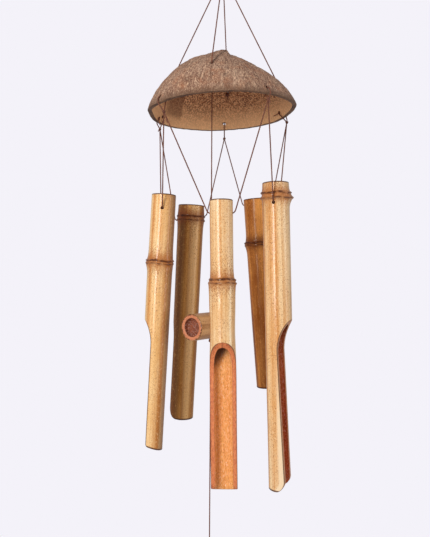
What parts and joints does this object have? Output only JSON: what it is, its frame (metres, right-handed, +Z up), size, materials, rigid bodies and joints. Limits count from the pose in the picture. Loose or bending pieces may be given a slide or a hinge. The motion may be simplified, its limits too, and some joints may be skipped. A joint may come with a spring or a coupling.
{
  "type": "wind chime",
  "caption": "Hanging wind chime with a coconut-shell canopy, bamboo tubes in cord slings, and a bamboo clapper on a cord with a wind catcher below.",
  "frame": {"origin": "top of the inside of the hanging ring, where the hook bears", "axes": "+Z up, +X to the right, -Y towards the viewer; the ring lies in the XZ plane"},
  "size_m": [0.1216, 0.1216, 0.5388],
  "materials": {
    "bamboo": "varnished golden tan culm with darker nodes and brown specks",
    "coconut": "fibrous grey-brown outside, scraped brown inside",
    "catcher_shell": "sanded and oiled coconut shell",
    "cord": "twisted brown nylon twine",
    "knot": "tight knots in the same twine",
    "ring_wire": "plain bent wire ring"
  },
  "bodies": {
    "ring": {"hanging_ring": "ring_wire"},
    "hanger": {"hanging_loop": "cord", "hanging_knot": "knot"},
    "canopy": {"coconut_shell": "coconut", "crown_knot": "knot", "suspension_cord_front": "cord", "suspension_knot_front": "knot", "suspension_cord_right": "cord", "suspension_knot_right": "knot", "suspension_cord_back": "cord", "suspension_knot_back": "knot", "suspension_cord_left": "cord", "suspension_knot_left": "knot", "rim_loop_near_left": "cord", "rim_knot_near_left": "knot", "rim_loop_near_right": "cord", "rim_knot_near_right": "knot", "rim_loop_right": "cord", "rim_knot_right": "knot", "rim_loop_back": "cord", "rim_knot_back": "knot", "rim_loop_left": "cord", "rim_knot_left": "knot"},
    "sling_left": {"sling_cord_left": "cord"},
    "tube_left": {"tube_left": "bamboo"},
    "sling_back_left": {"sling_cord_back_left": "cord"},
    "tube_back_left": {"tube_back_left": "bamboo"},
    "sling_front": {"sling_cord_front": "cord"},
    "tube_front": {"tube_front": "bamboo"},
    "sling_back_right": {"sling_cord_back_right": "cord"},
    "tube_back_right": {"tube_back_right": "bamboo"},
    "sling_right": {"sling_cord_right": "cord"},
    "tube_right": {"tube_right": "bamboo"},
    "clapper_hang": {"clapper_cord_knot": "knot"},
    "clapper_line": {"clapper_cord": "cord"},
    "clapper": {"clapper": "bamboo"},
    "tail_hang": {"clapper_stop_knot": "knot"},
    "tail": {"tail_cord": "cord", "catcher_knot": "knot", "catcher_loop": "cord"},
    "wind_catcher": {"wind_catcher": "catcher_shell"}
  },
  "joints": [
    {"name": "chime_swing_front_back", "type": "hinge", "parent": "ring", "child": "hanger", "pos_m": [0, 0, -0.015], "axis": [1, 0, 0], "range_deg": [-20, 20]},
    {"name": "chime_swing_side", "type": "hinge", "parent": "hanger", "child": "canopy", "pos_m": [0, 0, -0.022], "axis": [0, 1, 0], "range_deg": [-20, 20]},
    {"name": "sling_left_swing", "type": "hinge", "parent": "canopy", "child": "sling_left", "pos_m": [-0.04858, -0.00696, -0.14159], "axis": [-0.1395, 0.9898, 0.0281], "range_deg": [-2, 10]},
    {"name": "tube_left_rock", "type": "hinge", "parent": "sling_left", "child": "tube_left", "pos_m": [-0.04875, -0.00572, -0.2112], "axis": [0.1374, -0.9905, 0], "range_deg": [-8, 3]},
    {"name": "sling_back_left_swing", "type": "hinge", "parent": "canopy", "child": "sling_back_left", "pos_m": [-0.02546, 0.04115, -0.14102], "axis": [0.8503, 0.5262, -0.0095], "range_deg": [-2, 10]},
    {"name": "tube_back_left_rock", "type": "hinge", "parent": "sling_back_left", "child": "tube_back_left", "pos_m": [-0.02744, 0.03993, -0.215], "axis": [-0.9853, -0.0689, -0.1564], "range_deg": [-8, 3]},
    {"name": "sling_front_swing", "type": "hinge", "parent": "canopy", "child": "sling_front", "pos_m": [-0.00612, -0.04335, -0.13946], "axis": [-0.9874, 0.1372, -0.0782], "range_deg": [-2, 10]},
    {"name": "tube_front_rock", "type": "hinge", "parent": "sling_front", "child": "tube_front", "pos_m": [-0.00178, -0.04396, -0.2185], "axis": [0.9912, -0.1323, 0], "range_deg": [-8, 3]},
    {"name": "sling_back_right_swing", "type": "hinge", "parent": "canopy", "child": "sling_back_right", "pos_m": [0.02804, 0.0401, -0.13837], "axis": [0.8177, -0.568, 0.0928], "range_deg": [-2, 10]},
    {"name": "tube_back_right_rock", "type": "hinge", "parent": "sling_back_right", "child": "tube_back_right", "pos_m": [0.02976, 0.03891, -0.2057], "axis": [-0.9781, 0.1375, 0.1564], "range_deg": [-8, 3]},
    {"name": "sling_right_swing", "type": "hinge", "parent": "canopy", "child": "sling_right", "pos_m": [0.043, -0.01331, -0.13593], "axis": [-0.2984, -0.9544, -0.0139], "range_deg": [-2, 10]},
    {"name": "tube_right_rock", "type": "hinge", "parent": "sling_right", "child": "tube_right", "pos_m": [0.04079, -0.02037, -0.2087], "axis": [0.3007, 0.9537, 0], "range_deg": [-8, 3]},
    {"name": "clapper_swing_front_back", "type": "hinge", "parent": "canopy", "child": "clapper_hang", "pos_m": [-0.0087, 0, -0.0956], "axis": [1, 0, 0], "range_deg": [-2.5, 2.5]},
    {"name": "clapper_swing_side", "type": "hinge", "parent": "clapper_hang", "child": "clapper_line", "pos_m": [-0.0087, 0, -0.0956], "axis": [0, 1, 0], "range_deg": [-2.2, 2.2]},
    {"name": "clapper_twist", "type": "hinge", "parent": "clapper_line", "child": "clapper", "pos_m": [-0.00974, 0, -0.3041], "axis": [0.005, 0, 1], "range_deg": [-45, 45]},
    {"name": "tail_swing_front_back", "type": "hinge", "parent": "clapper_line", "child": "tail_hang", "pos_m": [-0.0098, 0, -0.3166], "axis": [1, 0, 0], "range_deg": [-25, 25]},
    {"name": "tail_swing_side", "type": "hinge", "parent": "tail_hang", "child": "tail", "pos_m": [-0.0098, 0, -0.3166], "axis": [0, 1, 0], "range_deg": [-25, 25]},
    {"name": "catcher_swing", "type": "hinge", "parent": "tail", "child": "wind_catcher", "pos_m": [-0.0109, 0, -0.494], "axis": [0, 1, 0], "range_deg": [-30, 30]}
  ]
}
